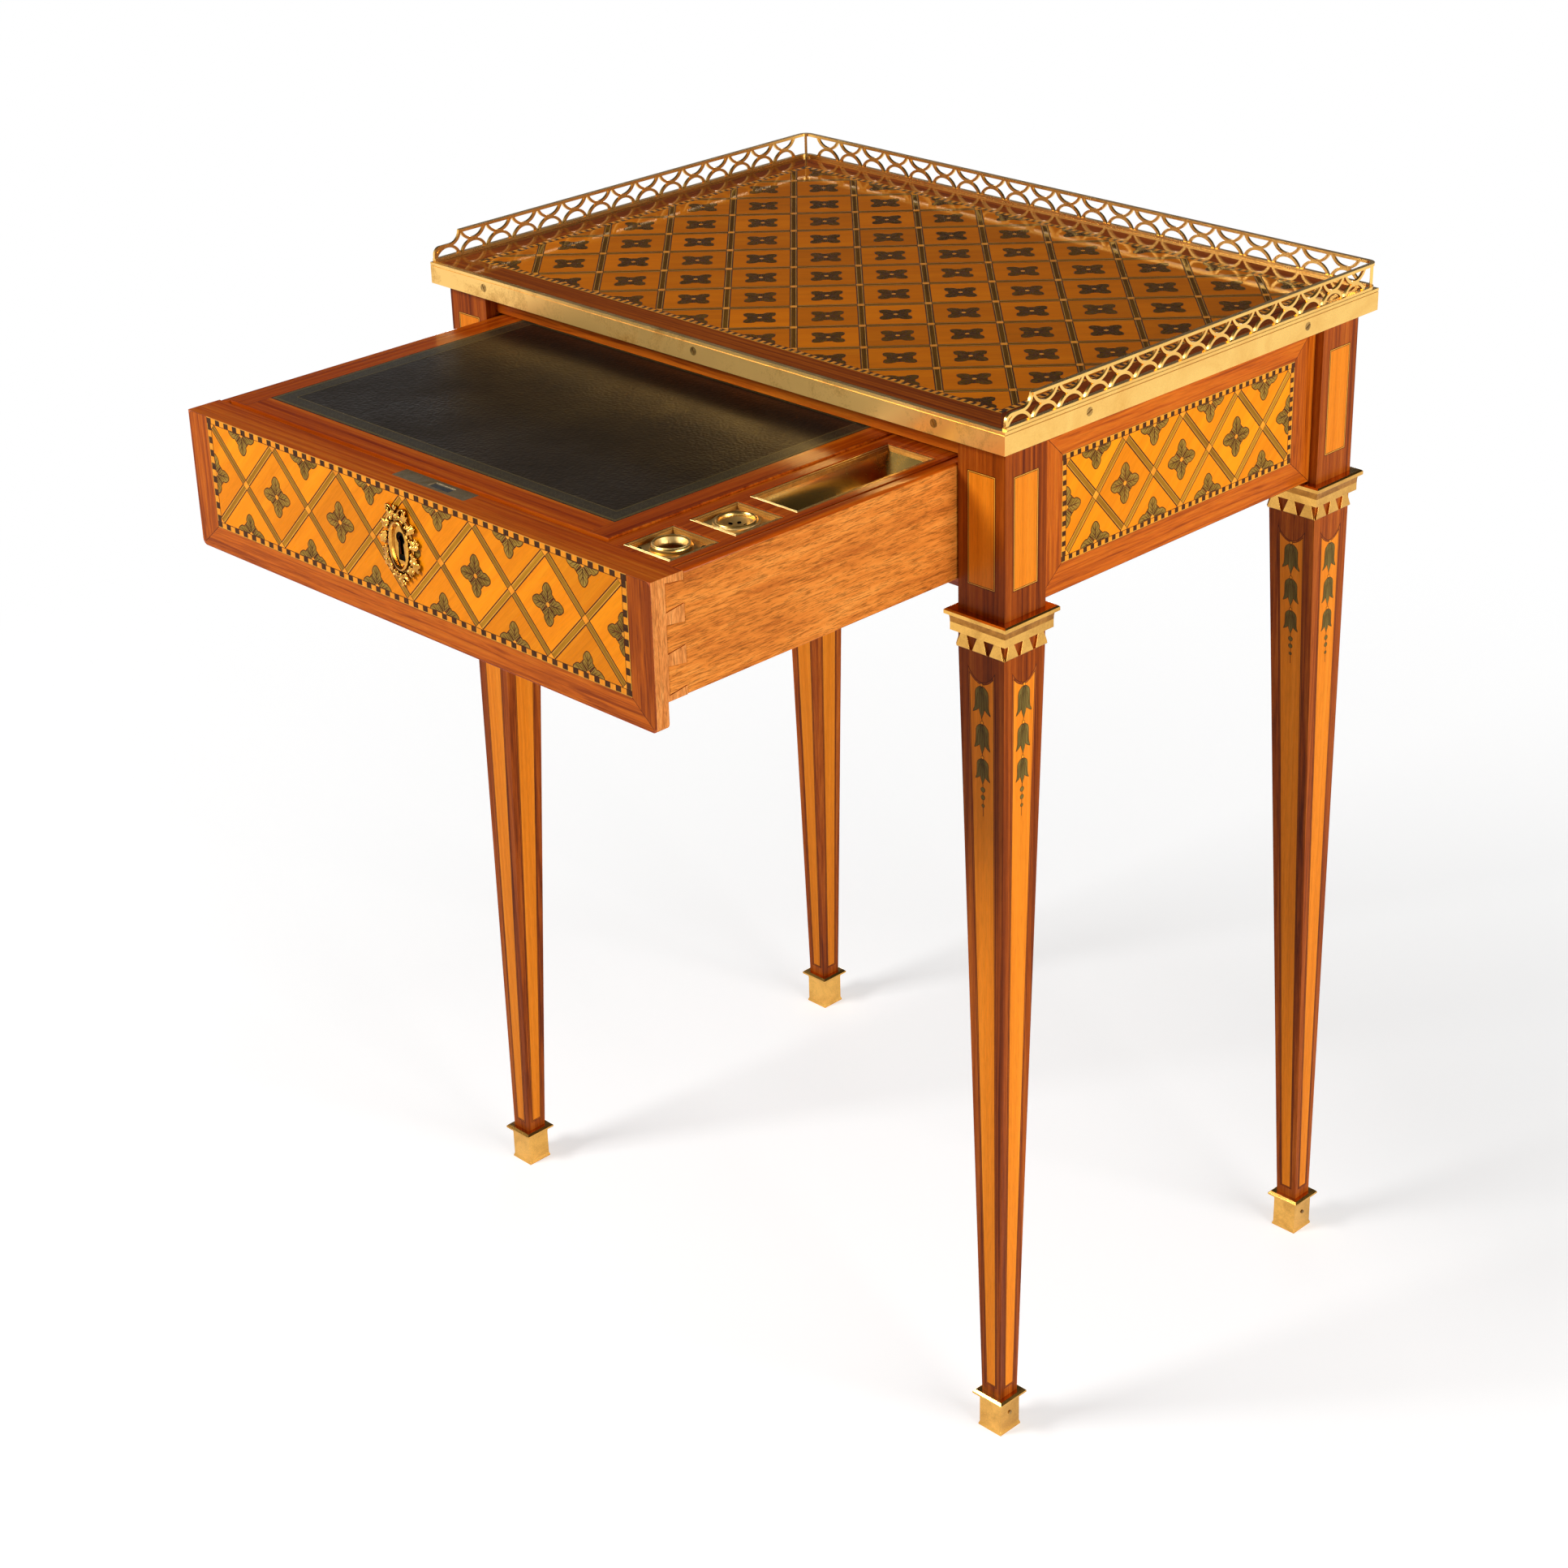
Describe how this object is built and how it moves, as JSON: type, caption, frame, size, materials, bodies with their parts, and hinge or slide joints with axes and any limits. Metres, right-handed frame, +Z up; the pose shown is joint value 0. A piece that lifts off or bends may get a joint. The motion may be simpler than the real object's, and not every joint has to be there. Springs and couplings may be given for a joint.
{
  "type": "writing table",
  "caption": "Small Louis XVI style writing table with marquetry, a brass gallery, tapering legs and a frieze drawer with a leather writing slide, inkwell, pounce pot and pen tray.",
  "frame": {"origin": "on the floor, in the middle of the rectangle covered by the table and its drawer as stored, open; the table's own middle is 122.3 mm behind it", "axes": "+Z up, +Y to the back, +X to the right seen from the drawer front"},
  "size_m": [0.534, 0.6166, 0.758],
  "materials": {
    "kingwood": "french polished, crossbanded kingwood",
    "mahogany": "french polished mahogany",
    "oak": "plain oak, waxed",
    "bright_brass": "polished, warm",
    "dull_brass": "lightly tarnished",
    "gilt_bronze": "chased and gilt",
    "lock_steel": "worn, blued at the bolt",
    "leather": "black-brown grained, polished by use",
    "satinwood": "quartered satinwood veneer, polished",
    "green_veneer": "dyed dark green sycamore veneer",
    "light_veneer": "pale sycamore and box stringing",
    "ebony": "ebonised stringing"
  },
  "bodies": {
    "table": {"top_panel": "kingwood", "edge_band_front": "dull_brass", "edge_band_back": "bright_brass", "edge_band_left": "bright_brass", "edge_band_right": "bright_brass", "band_screws": "dull_brass", "gallery_left": "bright_brass", "gallery_right": "bright_brass", "gallery_back": "bright_brass", "leg_front_left": "kingwood", "leg_front_right": "kingwood", "leg_back_left": "kingwood", "leg_back_right": "kingwood", "collar_front_left": "bright_brass", "collar_front_right": "bright_brass", "collar_back_left": "bright_brass", "collar_back_right": "bright_brass", "sabot_front_left": "bright_brass", "sabot_front_right": "bright_brass", "sabot_back_left": "bright_brass", "sabot_back_right": "bright_brass", "sabot_pins": "dull_brass", "side_apron_left": "kingwood", "side_apron_right": "kingwood", "back_apron": "kingwood", "upper_front_rail": "kingwood", "lower_front_rail": "mahogany", "drawer_runner_left": "oak", "drawer_runner_right": "oak", "drawer_guide_left": "oak", "drawer_guide_right": "oak", "drawer_kicker_left": "oak", "drawer_kicker_right": "oak", "glue_blocks": "oak"},
    "drawer": {"drawer_front": "kingwood", "drawer_side_left": "mahogany", "drawer_side_right": "mahogany", "drawer_back": "mahogany", "drawer_bottom": "mahogany", "well_divider": "mahogany", "compartment_deck": "mahogany", "slide_bearer": "mahogany", "deck_bearer": "mahogany", "lock_case": "lock_steel", "lock_plate": "bright_brass", "escutcheon": "gilt_bronze", "escutcheon_pins": "gilt_bronze"},
    "writing_slide": {"writing_panel": "mahogany", "writing_leather": "leather"},
    "lock_bolt": {"lock_bolt": "lock_steel"},
    "inkwell": {"inkwell_plate": "bright_brass", "inkwell_cup": "dull_brass"},
    "pounce_pot": {"pounce_plate": "bright_brass", "pounce_cup": "dull_brass"},
    "pen_tray": {"pen_tray": "bright_brass"}
  },
  "joints": [
    {"name": "drawer_slide", "type": "slide", "parent": "table", "child": "drawer", "axis": [0, -1, 0], "range_m": [-0.2596, 0.015]},
    {"name": "writing_slide_travel", "type": "slide", "parent": "drawer", "child": "writing_slide", "axis": [0, 1, 0], "range_m": [0, 0.1]},
    {"name": "lock_bolt_throw", "type": "slide", "parent": "drawer", "child": "lock_bolt", "axis": [0, 0, 1], "range_m": [0, 0.006]},
    {"name": "inkwell_lift", "type": "slide", "parent": "drawer", "child": "inkwell", "axis": [0, 0, 1], "range_m": [0, 0.05]},
    {"name": "pounce_lift", "type": "slide", "parent": "drawer", "child": "pounce_pot", "axis": [0, 0, 1], "range_m": [0, 0.05]},
    {"name": "pen_tray_lift", "type": "slide", "parent": "drawer", "child": "pen_tray", "axis": [0, 0, 1], "range_m": [0, 0.016]}
  ]
}
